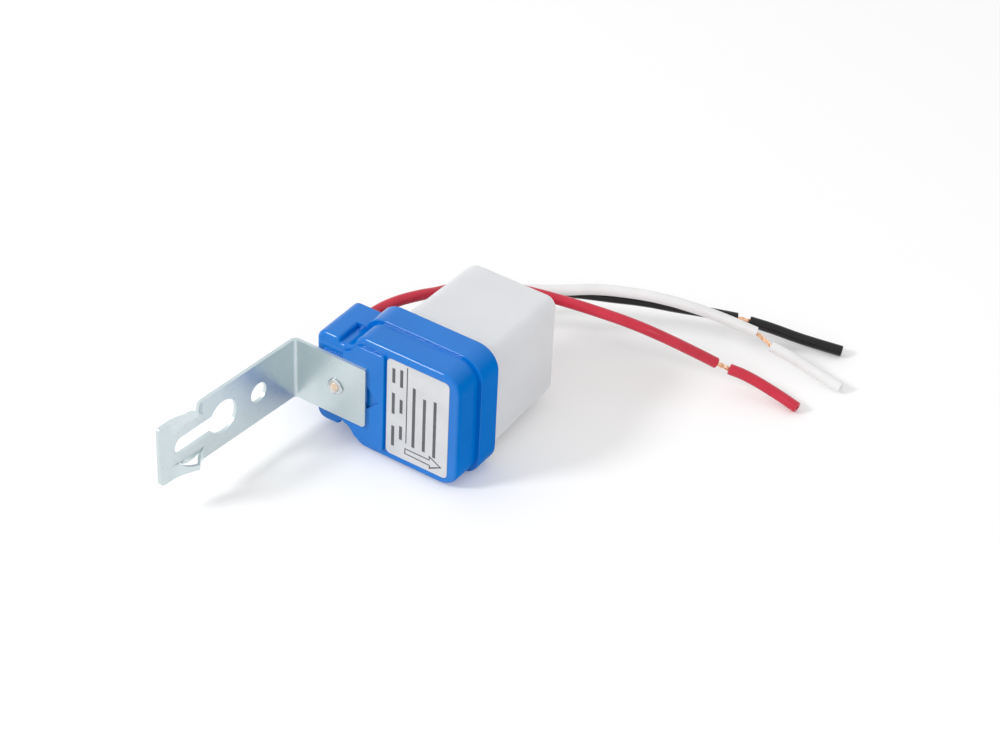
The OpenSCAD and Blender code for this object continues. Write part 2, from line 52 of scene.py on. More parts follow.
# base frame in mm: X from head to far end, Y from label to cover, Z across, 0 in the middle
def inPart(x, y, z):
    return baseMiddle + Vector((x, y, z)) * mm


def inBase(point):
    return (point - baseMiddle) / mm


def pick(piece):
    if bpy.context.mode != "OBJECT":
        bpy.ops.object.mode_set(mode="OBJECT")
    bpy.ops.object.select_all(action="DESELECT")
    if piece:
        piece.select_set(True)
        bpy.context.view_layer.objects.active = piece


def editAll():
    bpy.ops.object.mode_set(mode="EDIT")
    bpy.ops.mesh.select_all(action="SELECT")


def applyModifier(piece, kind, **settings):
    pick(piece)
    bpy.ops.object.modifier_add(type=kind)
    modifier = piece.modifiers[-1]
    for key, value in settings.items():
        setattr(modifier, key, value)
    bpy.ops.object.modifier_apply(modifier=modifier.name)


def combine(piece, tool, operation):
    applyModifier(piece, "BOOLEAN", object=tool, operation=operation, solver="EXACT")
    bpy.data.objects.remove(tool, do_unlink=True)


# a circle with one vertex for each point, pulled to the points and left in edit mode
def drawn(name, points, fill):
    pick(None)
    bpy.ops.mesh.primitive_circle_add(vertices=len(points), fill_type=fill)
    piece = bpy.context.object
    piece.name = piece.data.name = name
    for vertex, point in zip(piece.data.vertices, points):
        vertex.co = point
    editAll()
    return piece


# leaves edit mode with all faces turned outwards
def faceOutwards():
    bpy.ops.mesh.select_all(action="SELECT")
    bpy.ops.mesh.normals_make_consistent(inside=False)
    bpy.ops.object.mode_set(mode="OBJECT")


def extruded(name, points, move):
    piece = drawn(name, points, "NGON")
    bpy.ops.mesh.extrude_region_move(TRANSFORM_OT_translate={"value": move})
    faceOutwards()
    return piece


# an outline in X and Z, extruded along Y
def plate(name, outline, front, back):
    return extruded(name, [inPart(x, front, z) for x, z in outline], (0, (back - front) * mm, 0))


# a section in X and Y, extruded across Z
def bar(name, section, bottom, top):
    return extruded(name, [inPart(x, y, bottom) for x, y in section], (0, 0, (top - bottom) * mm))


# bevels the edges whose two ends, in the base frame, pass the test
def bevelEdges(piece, test, width, segments):
    pick(piece)
    bpy.ops.object.mode_set(mode="EDIT")
    bpy.ops.mesh.select_mode(type="EDGE")
    bpy.ops.mesh.select_all(action="DESELECT")
    bpy.ops.object.mode_set(mode="OBJECT")
    points = [inBase(vertex.co) for vertex in piece.data.vertices]
    for edge in piece.data.edges:
        edge.select = test(points[edge.vertices[0]], points[edge.vertices[1]])
    bpy.ops.object.mode_set(mode="EDIT")
    bpy.ops.mesh.bevel(offset=width * mm, segments=segments, affect="EDGES", clamp_overlap=False)
    bpy.ops.object.mode_set(mode="OBJECT")


# tests for the edges at a piece's front or back face
def frontOf(y):
    return lambda a, b: max(a.y, b.y) < y + near


def backOf(y):
    return lambda a, b: min(a.y, b.y) > y - near


def smooth(piece, angle=35):
    pick(piece)
    bpy.ops.object.shade_smooth_by_angle(angle=math.radians(angle))
    applyModifier(piece, "WEIGHTED_NORMAL", keep_sharp=True, weight=100)


def arc(x, z, radius, start, end, steps):
    turns = [math.radians(start + (end - start) * i / steps) for i in range(steps + 1)]
    return [(x + radius * math.cos(a), z + radius * math.sin(a)) for a in turns]


# a whole circle, its last point short of the first
def ring(x, diameter, steps, z=0):
    return arc(x, z, diameter / 2, 0, 360 - 360 / steps, steps - 1)


def mirrored(half):
    return half + [(x, -z) for x, z in reversed(half)]


def roundRect(x, length, width, radius, steps=8):
    cornerX, cornerZ = length / 2 - radius, width / 2 - radius
    half = arc(x - cornerX, cornerZ, radius, 180, 90, steps)
    half += arc(x + cornerX, cornerZ, radius, 90, 0, steps)
    return mirrored(half)


# S-curve of two equal arcs from the narrow end up to the wide end
def shoulder(start, run, narrow, wide, steps=10):
    rise = wide - narrow
    radius = (run * run + rise * rise) / (4 * rise)
    turn = math.degrees(math.asin(run / 2 / radius))
    low = arc(start, narrow + radius, radius, -90, -90 + turn, steps)
    high = arc(start + run, wide - radius, radius, 90 + turn, 90, steps)
    return low + high[1:]


# a hex colour as the shader's linear values
def tint(code):
    parts = [int(code[i:i + 2], 16) / 255 for i in (1, 3, 5)]
    return [p / 12.92 if p <= 0.04045 else ((p + 0.055) / 1.055) ** 2.4 for p in parts] + [1]


def setSockets(node, values):
    for socket, value in values.items():
        node.inputs[socket].default_value = value


def addNode(tree, kind, values=None):
    node = tree.nodes.new("ShaderNode" + kind)
    setSockets(node, values or {})
    return node


def addMath(tree, operation, *sources):
    node = addNode(tree, "Math")
    node.operation = operation
    for source, socket in zip(sources, node.inputs):
        tree.links.new(source, socket)
    return node


# noise behind every finish: its detail, where the tones start and end, and the bump's height in mm
noise = {"detail": 5, "fineDetail": 3, "tones": (0.3, 0.7), "relief": 0.05}


# principled shader with two or three tones, a roughness that varies and a fine bump
def mottled(name, tones, grain, rough, bump=0.0, stretch=(1, 1, 1), fine=6.0, sockets=None):
    material = bpy.data.materials.new(name)
    material.use_nodes = True
    tree = material.node_tree
    link = tree.links.new
    shader = tree.nodes["Principled BSDF"]
    place = addNode(tree, "TexCoord")
    mapping = addNode(tree, "Mapping", {"Scale": stretch})
    link(place.outputs["Object"], mapping.inputs["Vector"])
    cloud = addNode(tree, "TexNoise", {"Scale": grain, "Detail": noise["detail"]})
    link(mapping.outputs["Vector"], cloud.inputs["Vector"])
    ramp = addNode(tree, "ValToRGB")
    stops = ramp.color_ramp.elements
    first, last = noise["tones"]
    stops[0].position, stops[1].position = first, last
    stops[0].color, stops[1].color = tint(tones[0]), tint(tones[-1])
    for i, tone in enumerate(tones[1:-1]):
        stops.new(first + (last - first) * (i + 1) / (len(tones) - 1)).color = tint(tone)
    link(cloud.outputs["Fac"], ramp.inputs["Fac"])
    link(ramp.outputs["Color"], shader.inputs["Base Color"])
    speck = addNode(tree, "TexNoise", {"Scale": grain * fine, "Detail": noise["fineDetail"]})
    link(mapping.outputs["Vector"], speck.inputs["Vector"])
    span = addNode(tree, "MapRange", {"To Min": rough[0], "To Max": rough[1]})
    link(speck.outputs["Fac"], span.inputs["Value"])
    link(span.outputs["Result"], shader.inputs["Roughness"])
    if bump:
        relief = addNode(tree, "Bump", {"Strength": bump, "Distance": noise["relief"] * mm})
        link(speck.outputs["Fac"], relief.inputs["Height"])
        link(relief.outputs["Normal"], shader.inputs["Normal"])
    setSockets(shader, sockets or {})
    return material


# a value that goes from one number to another as a surface turns to face along an axis
def byFacing(tree, axis, span, values, bothWays=False):
    place = addNode(tree, "TexCoord")
    parts = addNode(tree, "SeparateXYZ")
    tree.links.new(place.outputs["Normal"], parts.inputs["Vector"])
    facing = parts.outputs[axis]
    if bothWays:
        facing = addMath(tree, "ABSOLUTE", facing).outputs["Value"]
    value = addNode(tree, "MapRange", {"From Min": span[0], "From Max": span[1],
                                       "To Min": values[0], "To Max": values[1]})
    tree.links.new(facing, value.inputs["Value"])
    return value.outputs["Result"]


def finishPiece(piece, material, slot, *nodes):
    piece.data.materials.clear()
    piece.data.materials.append(material)
    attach(piece, "root")
    if nodes:
        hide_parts(*nodes)


# camera: turn and height round the object in degrees, aim and distance in the base frame in mm
cameraView = {"turn": 35.76, "height": 38.3, "roll": 0.74, "distance": 662.5, "aim": (-10.506, 0, 0),
              "lens": 108.04, "sensor": 36, "shift": (0.13583, 0.01899), "nearest": 10}


def addCamera(view):
    turn, height, roll = (math.radians(view[key]) for key in ("turn", "height", "roll"))
    back = Vector((math.sin(turn) * math.cos(height), -math.cos(turn) * math.cos(height), math.sin(height)))
    right = Vector((math.cos(turn), math.sin(turn), 0))
    up = back.cross(right)
    across = right * math.cos(roll) + up * math.sin(roll)
    upward = up * math.cos(roll) - right * math.sin(roll)
    bpy.ops.object.camera_add()
    camera = bpy.context.object
    place = Matrix((across, upward, back)).transposed().to_4x4()
    place.translation = inPart(*view["aim"]) + back * view["distance"] * mm
    camera.matrix_world = place
    camera.data.lens = view["lens"]
    camera.data.sensor_width = view["sensor"]
    camera.data.shift_x, camera.data.shift_y = view["shift"]
    camera.data.clip_start = view["nearest"] * mm
    bpy.context.scene.camera = camera


pick(None)
addCamera(cameraView)
print("camera placed")

# leads, mm: "solder" and "bend" give the run inside the base, "strand" to "stray" the bare copper
leads = {"diameter": 2.6, "pitch": 7.9, "hole": (-20.7, 13.4), "floor": -16, "solder": (-7.5, 8.8), "bend": 4.7,
         "strand": 0.15, "strandTurn": 0.34, "around": 6, "steps": 8, "lay": 11.0, "wander": 0.25, "stray": 0.1,
         "copperLap": 1, "wall": 0.8, "endRound": 0.22, "roundness": 6, "fineness": 10}
# routes from each hole in the head, with heights above the floor, mm; length of the insulated wire, m
leadRoutes = {
    "red": {"row": 1, "length": 0.116,
            "route": [(0.1, 3.5, 23.7), (1.5, 9.3, 23.7), (4.2, 15.3, 23.4), (6.3, 20.8, 22.2), (7.6, 25.5, 21.3),
                      (9, 30, 20.7), (12.8, 33, 20.4), (19, 34.8, 20.2), (28.4, 37.2, 20), (39.5, 40.1, 19),
                      (45, 41.8, 18), (50.1, 44.2, 16), (57.6, 50, 10.5), (61.4, 53, 7.5)],
            "sleeve": [(64.1, 54.6, 6), (67.4, 55.9, 5), (75.4, 57.1, 2.6), (81.3, 56.7, 1.5)]},
    "white": {"row": 0, "length": 0.127,
              "route": [(0, 6, 15.8), (0.3, 14, 14.5), (1.8, 23, 13.6), (4.5, 31.5, 13.6), (9.5, 38.6, 14),
                        (15.8, 41.8, 14.6), (23.5, 46.8, 15), (29.2, 51.4, 15), (35.8, 54.9, 15),
                        (42.6, 58.1, 14.5), (49.4, 61.4, 13), (56, 65, 10.5), (62.8, 68.6, 7.5)],
              "sleeve": [(67.4, 67.9, 6), (73.6, 69.1, 4), (77.8, 69.4, 2.8), (85.7, 69.3, 1.5)]},
    "black": {"row": -1, "length": 0.125,
              "route": [(0, 7, 8), (0.3, 20.5, 8.2), (3, 35, 8.5), (9, 45.5, 8.8), (15.5, 51, 9),
                        (22.2, 54.6, 9), (29.9, 58.2, 9), (36.7, 61.4, 9), (43.5, 64.8, 8.3), (49.8, 68.8, 7.2),
                        (55.6, 72.5, 6)],
              "sleeve": [(58.1, 74.1, 5.2), (62.6, 75.8, 4.4), (69.4, 78.6, 2.6), (79.1, 81.5, 1.5)]},
}


def fromHole(point):
    x, y, z = point
    return inPart(leads["hole"][0] + x, leads["hole"][1] + y, z + leads["floor"])


# from the board down into the head and up to the hole
def insideRoute(row):
    solderX, solderY = leads["solder"]
    holeX, holeY = leads["hole"]
    bend, z = leads["bend"], row * leads["pitch"]
    down = arc(solderX - bend, solderY, bend, 0, -90, 3)
    rise = arc(holeX + bend, solderY, bend, -90, -180, 3)
    return [inPart(x, y, z) for x, y in down + rise + [(holeX, holeY)]]


def tubeAlong(name, points, radius, caps=True):
    curve = bpy.data.curves.new(name, "CURVE")
    curve.dimensions = "3D"
    curve.bevel_depth = radius * mm
    curve.bevel_resolution = leads["roundness"]
    curve.resolution_u = leads["fineness"]
    curve.use_fill_caps = caps
    spline = curve.splines.new("BEZIER")
    spline.bezier_points.add(len(points) - 1)
    for knot, point in zip(spline.bezier_points, points):
        knot.co = point
        knot.handle_left_type = knot.handle_right_type = "AUTO"
    piece = bpy.data.objects.new(name, curve)
    bpy.context.collection.objects.link(piece)
    return piece


def toMesh(*pieces):
    pick(pieces[0])
    for piece in pieces:
        piece.select_set(True)
    bpy.ops.object.convert(target="MESH")
    if len(pieces) > 1:
        bpy.ops.object.join()
    return bpy.context.object


# strands laid loosely round a middle one between two points, none quite in its place
def twistedCopper(name, start, end):
    axis = (end - start).normalized()
    side = axis.orthogonal().normalized()
    other = axis.cross(side)
    lap = axis * leads["copperLap"] * mm
    start, end = start - lap, end + lap
    length = (end - start).length
    around, steps, lay = leads["around"], leads["steps"], leads["lay"] * mm
    strands = [tubeAlong(name, [start, (start + end) / 2, end], leads["strand"])]
    for k in range(around):
        points = []
        for i in range(steps + 1):
            along = length * i / steps
            turn = 2 * math.pi * (k / around + along / lay) + leads["wander"] * math.sin(3 * k + i)
            reach = leads["strandTurn"] + leads["stray"] * math.sin(2.1 * k + 0.9 * i)
            out = side * math.cos(turn) + other * math.sin(turn)
            points.append(start + axis * along + out * reach * mm)
        strands.append(tubeAlong(name + "Strand", points, leads["strand"]))
    return toMesh(*strands)


def sleeveTube(name, points):
    sleeve = toMesh(tubeAlong(name, points, leads["diameter"] / 2, caps=False))
    applyModifier(sleeve, "SOLIDIFY", thickness=leads["wall"] * mm, offset=-1)
    applyModifier(sleeve, "BEVEL", width=leads["endRound"] * mm, segments=3, limit_method="ANGLE",
                  angle_limit=math.radians(60))
    return sleeve


insulation = {
    "red": mottled("redInsulation", ("#C2223A", "#CE2A42"), 200, (0.14, 0.2), 0.02,
                   sockets={"Specular IOR Level": 0.4}),
    "white": mottled("whiteInsulation", ("#E9E9E9", "#EFEFEF"), 200, (0.16, 0.22), 0.02,
                     sockets={"Specular IOR Level": 0.4}),
    "black": mottled("blackInsulation", ("#0C0A0B", "#141213"), 200, (0.14, 0.2), 0.02,
                     sockets={"Specular IOR Level": 0.35}),
}
copper = mottled("bareCopper", ("#E2AC82", "#F2C8A6", "#FAE0CC"), 900, (0.25, 0.4), 0.2, sockets={"Metallic": 1.0})

for colour, lead in leadRoutes.items():
    outer = [fromHole(point) for point in lead["route"]]
    sleevePoints = [fromHole(point) for point in lead["sleeve"]]
    cord = tubeAlong("lead_" + colour + "_wire", insideRoute(lead["row"]) + outer, leads["diameter"] / 2)
    strands = twistedCopper("lead_" + colour + "_strands", outer[-1], sleevePoints[0])
    sleeve = sleeveTube("lead_" + colour + "_end", sleevePoints)
    for piece in (strands, sleeve):
        smooth(piece, 50)
    finishPiece(cord, insulation[colour], colour + "_insulation", "lead_" + colour)
    finishPiece(strands, copper, "bare_copper", "lead_" + colour + "_copper")
    finishPiece(sleeve, insulation[colour], colour + "_insulation", "lead_" + colour + "_sleeve")
print("leads laid")

# blue base, mm in the base frame: rim, block, head and neck, pad, then the rooms and holes
# the far end's lower shine below paints shade on the faces turned towards the far end
base = {"rimL": 31, "rimEnd": 15.9, "rimW": 32, "rimR": 5.5, "rimEdge": 0.3, "backEdge": 0.3, "depth": 13.4,
        "blockEnd": 14.75, "blockW": 30.5, "blockR": 4.75, "frontDepth": 7.1, "frontEdge": 0.9, "lap": 0.6,
        "headX": -23.6, "headEnd": -17.4, "headW": 24.6, "headR": 2.5, "headEdge": 1.05, "headStep": 0.03,
        "neckX": -16.6, "neckW": 22, "groove": 0.2, "shoulderX": -10,
        "padH": 0.8, "padX": -4.75, "padW": 26.3, "padR": 0.6, "padEdge": 0.3, "padNarrow": 20, "padNeck": -16,
        "padNeckR": 0.5, "padShoulder": -10.8, "barX": -21.5, "barW": 15.8,
        "coverX": 1.5, "frontWall": 1.5, "ledge": 8.8, "pocket": (25.2, 28.2, 3.1), "room": (22, 25, 2),
        "roomLap": 0.5, "headRoom": (-22.4, -17.5), "headBack": 11.8, "passageX": -18, "passageBack": 7,
        "passageW": 18.8, "recessX": -9.2, "recessR": 3.1, "recessFloor": -0.3, "rivetX": -17.2,
        "rivetHole": 2.7, "leadHole": 2.8, "cut": 1, "shine": 0.42, "shadedEndShine": 0.01, "endFacing": (0.35, 0.85)}


def frontOutline():
    headR, edge, groove = base["headR"], base["headEdge"], base["groove"]
    headHalf, neckHalf, blockHalf = (base[key] / 2 for key in ("headW", "neckW", "blockW"))
    half = arc(base["headX"] + headR, headHalf - headR, headR, 180, 90, 8)
    half += arc(base["headEnd"] - edge, headHalf - edge, edge, 90, 0, 6)
    half += arc(base["headEnd"] + groove, neckHalf + groove, groove, 180, 270, 5)[:-1]
    half += shoulder(base["neckX"], base["shoulderX"] - base["neckX"], neckHalf, blockHalf)
    half += arc(base["blockEnd"] - base["blockR"], blockHalf - base["blockR"], base["blockR"], 90, 0, 12)
    return mirrored(half)


# the head's back half lies a hair inside its front half, so that no two faces coincide
def backOutline():
    rimR, headR, step = base["rimR"], base["headR"], base["headStep"]
    cornerX, cornerZ = base["rimL"] / 2 - rimR, base["rimW"] / 2 - rimR
    headHalf = base["headW"] / 2 - step
    meet = 180 - math.degrees(math.asin((headHalf - cornerZ) / rimR))
    half = arc(base["headX"] + step + headR, headHalf - headR, headR, 180, 90, 8)
    half += arc(-cornerX, cornerZ, rimR, meet, 90, 12)
    half += arc(base["rimEnd"] - rimR, cornerZ, rimR, 90, 0, 12)
    return mirrored(half)


def padOutline():
    narrow, wide, barHalf = base["padNarrow"] / 2, base["padW"] / 2, base["barW"] / 2
    neck, neckR, cornerR = base["padNeck"], base["padNeckR"], base["padR"]
    half = [(base["barX"], barHalf), (neck, barHalf)]
    half += arc(neck + neckR, narrow - neckR, neckR, 180, 90, 4)
    half += shoulder(neck, base["padShoulder"] - neck, narrow, wide)[2:]
    half += arc(base["padX"] - cornerR, wide - cornerR, cornerR, 90, 0, 5)
    return mirrored(half)


# what is cut out of the base: the rooms, the recess in the pad, and the holes for rivet and leads
def baseCutters():
    coverX, wall, ledge, cut = base["coverX"], base["frontWall"], base["ledge"], base["cut"]
    front, back = -base["padH"] - cut, base["depth"] + cut
    aside, headRoom = base["passageW"] / 2, base["headRoom"]
    recessX, recessR = base["recessX"], base["recessR"]
    recess = [(recessX - recessR, 0), (recessX, recessR), (recessX + recessR, 0), (recessX, -recessR)]
    cutters = [plate("pocket", roundRect(coverX, *base["pocket"]), ledge, back),
               plate("room", roundRect(coverX, *base["room"]), wall, ledge + base["roomLap"]),
               plate("headRoom", mirrored([(x, aside) for x in headRoom]), wall, base["headBack"]),
               plate("passage", mirrored([(base["passageX"], aside), (coverX, aside)]), wall, base["passageBack"]),
               plate("recess", recess, front, base["recessFloor"]),
               plate("rivetHole", ring(base["rivetX"], base["rivetHole"], 24), front, wall + cut)]
    for row in (-1, 0, 1):
        hole = ring(leads["hole"][0], base["leadHole"], 24, row * leads["pitch"])
        cutters.append(plate("leadHole", hole, ledge, back))
    return cutters


def addBase():
    frontDepth, depth, padH = base["frontDepth"], base["depth"], base["padH"]
    front = plate("photocell_base", frontOutline(), 0, frontDepth + base["lap"])
    bevelEdges(front, frontOf(0), base["frontEdge"], 5)
    back = plate("rim", backOutline(), frontDepth, depth)
    bevelEdges(back, backOf(depth), base["backEdge"], 4)
    rimFront = frontOf(frontDepth)
    bevelEdges(back, lambda a, b: rimFront(a, b) and min(a.x, b.x) > base["neckX"], base["rimEdge"], 3)
    combine(front, back, "UNION")
    pad = plate("pad", padOutline(), -padH, base["lap"])
    bevelEdges(pad, frontOf(-padH), base["padEdge"], 3)
    combine(front, pad, "UNION")
    for tool in baseCutters():
        combine(front, tool, "DIFFERENCE")
    smooth(front)
    return front


# painted shade: the moulding's far end takes less shine than its top and its front, so it shows darker, as if it
# reflected a shadow
def paintEndShade(material):
    tree = material.node_tree
    level = tree.nodes["Principled BSDF"].inputs["Specular IOR Level"]
    level.default_value = base["shine"]  # kept where the link isn't read
    tree.links.new(byFacing(tree, "X", base["endFacing"], (base["shine"], base["shadedEndShine"])), level)


bluePlastic = mottled("bluePlastic", ("#0070C8", "#0074CE", "#0478D2"), 60, (0.14, 0.2), fine=9)
# painted shade: the base's faces towards the far end reflect less and read darker
paintEndShade(bluePlastic)
finishPiece(addBase(), bluePlastic, "blue_plastic", "base")
print("base moulded")

# milky cover: its foot in the base, its drafted end and its soft edges, mm
cover = {"foot": 10.4, "rim": 13.4, "end": 40.9, "x": 1.5, "length": 25, "width": 28, "corner": 3, "edge": 2.2,
         "endLength": 23.9, "endWidth": 26.9, "wall": 1.2}


def addCover():
    foot, end, middleX = cover["foot"], cover["end"], cover["x"]
    pick(None)
    bpy.ops.mesh.primitive_cube_add(size=1, location=inPart(middleX, (foot + end) / 2, 0))
    piece = bpy.context.object
    piece.name = piece.data.name = "milky_cover"
    piece.scale = Vector((cover["length"], end - foot, cover["width"])) * mm
    bpy.ops.object.transform_apply()
    editAll()
    bpy.ops.mesh.bisect(plane_co=inPart(0, cover["rim"], 0), plane_no=(0, 1, 0))
    bpy.ops.object.mode_set(mode="OBJECT")
    for vertex in piece.data.vertices:
        point = inBase(vertex.co)
        if point.y > end - near:
            x = middleX + math.copysign(cover["endLength"] / 2, point.x - middleX)
            vertex.co = inPart(x, point.y, math.copysign(cover["endWidth"] / 2, point.z))
    bevelEdges(piece, lambda a, b: abs(a.y - b.y) > 1, cover["corner"], 10)  # the edges along Y
    bevelEdges(piece, backOf(end), cover["edge"], 8)
    # the foot is open, and the wall goes inwards
    bpy.ops.object.mode_set(mode="EDIT")
    bpy.ops.mesh.select_mode(type="FACE")
    bpy.ops.mesh.select_all(action="DESELECT")
    bpy.ops.object.mode_set(mode="OBJECT")
    for face in piece.data.polygons:
        face.select = inBase(face.center).y < foot + near
    bpy.ops.object.mode_set(mode="EDIT")
    bpy.ops.mesh.delete(type="FACE")
    bpy.ops.object.mode_set(mode="OBJECT")
    applyModifier(piece, "SOLIDIFY", thickness=cover["wall"] * mm, offset=-1, use_even_offset=True)
    smooth(piece)
    return piece


milkyPlastic = mottled("milkyPlastic", ("#DCDEE2", "#E4E6EA"), 40, (0.3, 0.38), 0.02, fine=20,
                       sockets={"Subsurface Weight": 1.0, "Subsurface Radius": (1.0, 1.0, 1.0),
                                "Subsurface Scale": 0.0025, "IOR": 1.45})
finishPiece(addCover(), milkyPlastic, "milky_plastic", "cover")
print("cover moulded")

# bracket: folded strip, distances along the long leg from the bend, mm and degrees
bracket = {"width": 16, "thick": 0.8, "front": -1.6, "end": -9.1, "bendX": -28.4, "bendR": 0.8, "lean": 5,
           "leg": 43.3, "topCorner": 0.5, "lowCorner": 1.5, "endCorner": 1.2, "hole": (12, 5), "key": (23.4, 8.5),
           "slot": (38.6, 4.3), "rivet": (-17.2, 2.7), "rivetCut": (-3, 0), "bow": (29.5, 33.1, 40), "bowH": 2.1,
           "bowW": 3.5, "bowRoot": 0.3, "bowSink": 0.02, "tabAt": 33.6, "tabL": 7.2, "tabDepth": 1.9,
           "tabGap": 0.25, "tabAngle": 12, "tabRoot": 0.2, "slitRoot": 0.1, "cut": 6, "weld": 0.02, "flat": 0.5,
           "edgeRough": 0.65, "edgeFacing": (0.6, 0.9)}
leanSin, leanCos = math.sin(math.radians(bracket["lean"])), math.cos(math.radians(bracket["lean"]))


# X and Y of a point on the long leg, from its distance from the bend and how far it lies outside
def onLeg(along, out):
    return (bracket["bendX"] - along * leanSin - out * leanCos,
            bracket["front"] - along * leanCos + out * leanSin)


# how far a bowed edge lies outside the flat leg: soft at both ends, with a sharp crease
def bowOut(along):
    start, peak, end = bracket["bow"]
    part = (along - peak) / (start - peak if along < peak else end - peak)
    return bracket["bowH"] * (math.sin(math.pi / 2 * part) - 1)


def stripSection():
    bendR, lean, leg, front, thick = (bracket[key] for key in ("bendR", "lean", "leg", "front", "thick"))
    reach = bendR * math.tan(math.radians(45 - lean / 2))
    centre = (bracket["bendX"] + reach, front - bendR)
    inner = arc(*centre, bendR, 90, 180 - lean, 8)
    outer = arc(*centre, bendR + thick, 180 - lean, 90, 8)
    return ([(bracket["end"], front)] + inner + [onLeg(leg, 0), onLeg(leg, thick)]
            + outer + [(bracket["end"], front + thick)])


# a bowed edge, with a short root inside the flat plate at both ends
def bowSection():
    start, peak, end = bracket["bow"]
    stops = [start + (peak - start) * i / 10 for i in range(11)]
    stops += [peak + (end - peak) * i / 12 for i in range(1, 13)]
    root, sink, thick = bracket["bowRoot"], bracket["bowSink"], bracket["thick"]
    return ([onLeg(start - root, sink)] + [onLeg(u, bowOut(u)) for u in stops]
            + [onLeg(end + root, sink), onLeg(end + root, thick - sink)]
            + [onLeg(u, bowOut(u) + thick) for u in reversed(stops)] + [onLeg(start - root, thick - sink)])


# a block through the long leg, drawn along the leg and across it
def legBlock(name, outline, low=-bracket["cut"], high=bracket["cut"]):
    points = [inPart(*onLeg(along, low), across) for along, across in outline]
    return extruded(name, points, Vector((-leanCos, leanSin, 0)) * (high - low) * mm)


# half moon with its straight side towards the strip's middle, on the upper or the lower edge
def halfMoon(side, gap, root):
    half, depth = bracket["tabL"] / 2, bracket["tabDepth"]
    radius = (half * half + depth * depth) / (2 * depth)
    chord = bracket["width"] / 2 - bracket["bowW"]
    low = math.degrees(math.asin((radius - depth - root) / (radius + gap)))
    moon = arc(bracket["tabAt"], chord - radius + depth, radius + gap, low, 180 - low, 20)
    return [(along, side * across) for along, across in moon]


# the corners of the long leg's end and of the short leg's end, on the upper and the lower edge
def roundCorners(strip):
    edgeAt = bracket["width"] / 2 - near
    legEnd = Vector(onLeg(bracket["leg"], bracket["thick"] / 2))
    for side, corner in ((1, bracket["topCorner"]), (-1, bracket["lowCorner"])):
        bevelEdges(strip, lambda a, b: min(a.z * side, b.z * side) > edgeAt
                   and max((a.xy - legEnd).length, (b.xy - legEnd).length) < 1, corner, 6)
        bevelEdges(strip, lambda a, b: min(a.z * side, b.z * side) > edgeAt
                   and min(a.x, b.x) > bracket["end"] - near, min(corner, bracket["endCorner"]), 6)


def cutHoles(strip):
    keyAt, keyD = bracket["key"]
    slotEnd, slotW = bracket["slot"]
    meet = math.degrees(math.asin(slotW / keyD))
    keyhole = arc(keyAt, 0, keyD / 2, meet, 360 - meet, 40)
    keyhole += arc(slotEnd - slotW / 2, 0, slotW / 2, -90, 90, 16)
    for tool in (legBlock("keyhole", keyhole), legBlock("hole", ring(*bracket["hole"], 40)),
                 plate("rivetHole", ring(*bracket["rivet"], 24), *bracket["rivetCut"])):
        combine(strip, tool, "DIFFERENCE")


# the flat edge gives way to a bowed one with a slit, and a half moon is bent out of it
def addBow(strip, side):
    width, thick = bracket["width"], bracket["thick"]
    start, end = bracket["bow"][0], bracket["bow"][-1]
    chord = width / 2 - bracket["bowW"]
    gap = [(start, side * chord), (end, side * chord), (end, side * width), (start, side * width)]
    combine(strip, legBlock("edgeGap", gap), "DIFFERENCE")
    bow = bar("bow", bowSection(), side * chord, side * width / 2)
    slit = halfMoon(side, bracket["tabGap"], bracket["slitRoot"])
    combine(bow, legBlock("slit", slit), "DIFFERENCE")
    combine(strip, bow, "UNION")
    tab = legBlock("tab", halfMoon(side, 0, bracket["tabRoot"]), 0, thick)
    hinge = inPart(*onLeg(bracket["tabAt"], thick), side * chord)
    axis = Vector((-leanSin, -leanCos, 0))
    turn = Matrix.Rotation(math.radians(side * bracket["tabAngle"]), 4, axis)
    tab.data.transform(Matrix.Translation(hinge) @ turn @ Matrix.Translation(-hinge))
    combine(strip, tab, "UNION")


def addBracket():
    width = bracket["width"]
    strip = bar("folded_bracket", stripSection(), -width / 2, width / 2)
    roundCorners(strip)
    cutHoles(strip)
    for side in (1, -1):
        addBow(strip, side)
    # slivers that the cuts left are merged and flat faces joined
    pick(strip)
    editAll()
    bpy.ops.mesh.remove_doubles(threshold=bracket["weld"] * mm)
    bpy.ops.mesh.dissolve_limited(angle_limit=math.radians(bracket["flat"]))
    bpy.ops.object.mode_set(mode="OBJECT")
    smooth(strip)
    return strip


# the strip's sheared long edges, which face up and down, are rougher than its plated faces
def roughEdges(material):
    tree = material.node_tree
    rough = tree.nodes["Principled BSDF"].inputs["Roughness"]
    plated = rough.links[0].from_socket
    sheared = byFacing(tree, "Z", bracket["edgeFacing"], (0, bracket["edgeRough"]), bothWays=True)
    tree.links.new(addMath(tree, "MAXIMUM", plated, sheared).outputs["Value"], rough)


zincSteel = mottled("zincSteel", ("#C4D1D4", "#D4DEE0", "#E4EAEA"), 45, (0.24, 0.34), stretch=(1, 1, 0.35),
                    fine=12, sockets={"Metallic": 1.0})
roughEdges(zincSteel)
finishPiece(addBracket(), zincSteel, "zinc_steel", "bracket")
print("bracket folded")

# rivet: rolled ring, shank and core, mm; waves of the uneven roll as (count, phase, size)
rivet = {"x": -17.2, "front": -2.1, "back": 2.4, "headD": 4.0, "shankD": 2.6, "coreD": 1.8, "headH": 0.5,
         "lip": 0.25, "lipFront": 0.05, "grow": [(3, 0.6, 0.05), (7, 0, 0.035)],
         "dip": [(2, 2.2, 0.1), (5, 0, 0.06)], "cap": (-17.32, 2.15), "capProud": 0.05, "capH": 0.4,
         "capLap": 0.1, "capEdge": 0.25, "coreShort": 0.1}


def spun(name, profile, steps=48):
    piece = drawn(name, [inPart(rivet["x"] + radius, y, 0) for radius, y in profile], "NOTHING")
    bpy.ops.mesh.spin(steps=steps, angle=2 * math.pi, center=inPart(rivet["x"], 0, 0), axis=(0, 1, 0))
    bpy.ops.mesh.select_all(action="SELECT")
    bpy.ops.mesh.remove_doubles(threshold=near * mm)
    faceOutwards()
    return piece


